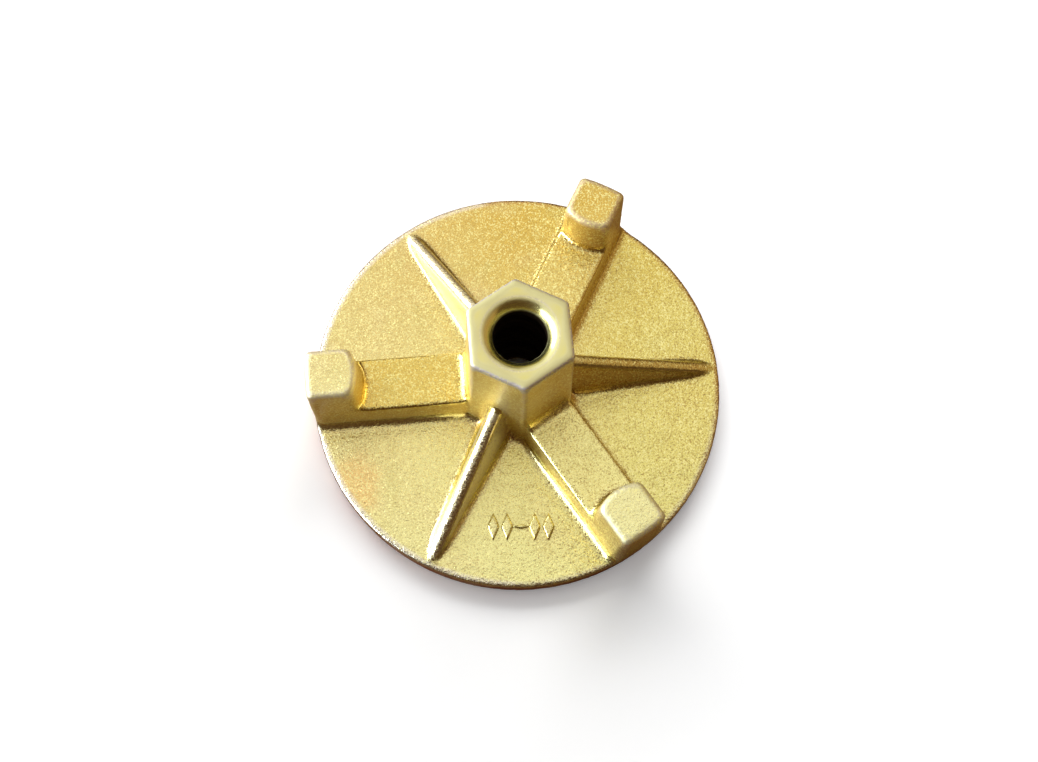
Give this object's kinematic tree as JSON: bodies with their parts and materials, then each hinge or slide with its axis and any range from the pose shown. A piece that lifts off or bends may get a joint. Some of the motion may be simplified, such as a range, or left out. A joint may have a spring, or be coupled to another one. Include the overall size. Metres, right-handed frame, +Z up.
{
  "type": "formwork wing nut",
  "caption": "One-piece cast wing nut for formwork tie rods: round bearing flange, tall hexagon hub with a threaded bore, upright striking lugs on low bars, and triangular ribs between.",
  "frame": {"origin": "centre of the flat bearing face, on the bore axis", "axes": "+Z up the bore from the bearing face to the top of the hub; one wing points along -X and one rib along +X"},
  "size_m": [0.13, 0.13, 0.054],
  "materials": {
    "plated_iron": "as-cast grain under yellow-passivated zinc plating"
  },
  "bodies": {
    "root": {"wing_nut": "plated_iron"}
  },
  "joints": []
}
